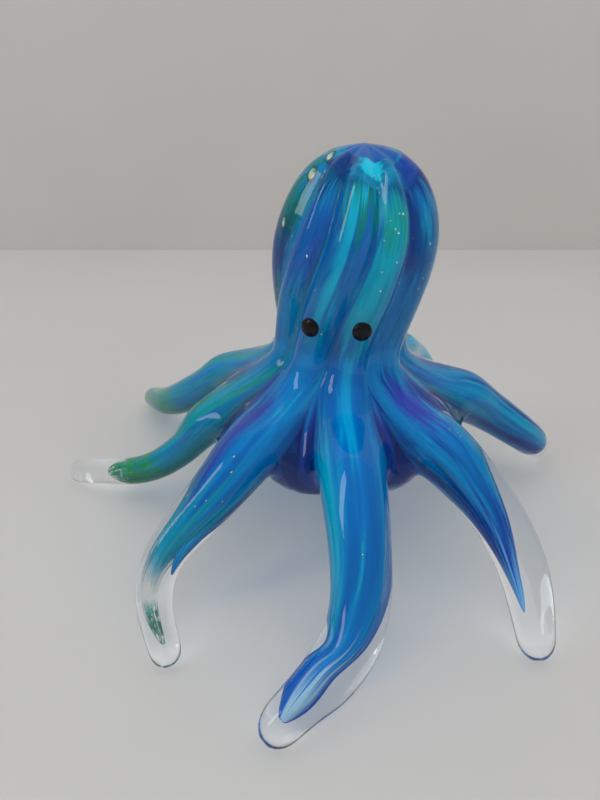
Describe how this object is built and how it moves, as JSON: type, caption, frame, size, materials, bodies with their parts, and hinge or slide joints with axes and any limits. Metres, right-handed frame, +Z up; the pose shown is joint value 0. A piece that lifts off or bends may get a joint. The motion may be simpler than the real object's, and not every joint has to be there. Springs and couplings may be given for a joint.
{
  "type": "glass octopus figurine",
  "caption": "Solid glass octopus that stands on curved arms, with a ribbed domed head, a coloured core under a clear casing and black dot eyes.",
  "frame": {"origin": "on the resting surface, under the middle of the figure's bounding box", "axes": "+Z up through the head; -Y is the way the face looks; +X is to the right as seen from the front"},
  "size_m": [0.1958, 0.195, 0.124],
  "materials": {
    "clear_glass": "clear fire-polished glass with a few seed bubbles",
    "turquoise_glass": "turquoise and royal blue streaks laid lengthwise, under the clear casing",
    "blue_glass": "medium blue with turquoise, indigo and green streaks, fading out before the arm's tip",
    "black_glass": "opaque black, glossy"
  },
  "bodies": {
    "root": {"arm_back_casing": "clear_glass", "arm_back_core": "blue_glass", "arm_back_left_casing": "clear_glass", "arm_back_left_core": "blue_glass", "arm_back_right_casing": "clear_glass", "arm_back_right_core": "blue_glass", "arm_front_casing": "clear_glass", "arm_front_core": "blue_glass", "arm_front_left_casing": "clear_glass", "arm_front_left_core": "blue_glass", "arm_front_right_casing": "clear_glass", "arm_front_right_core": "blue_glass", "arm_left_casing": "clear_glass", "arm_left_core": "blue_glass", "arm_right_casing": "clear_glass", "arm_right_core": "blue_glass", "eye_left": "black_glass", "eye_right": "black_glass", "mantle_casing": "clear_glass", "mantle_core": "turquoise_glass"}
  },
  "joints": []
}
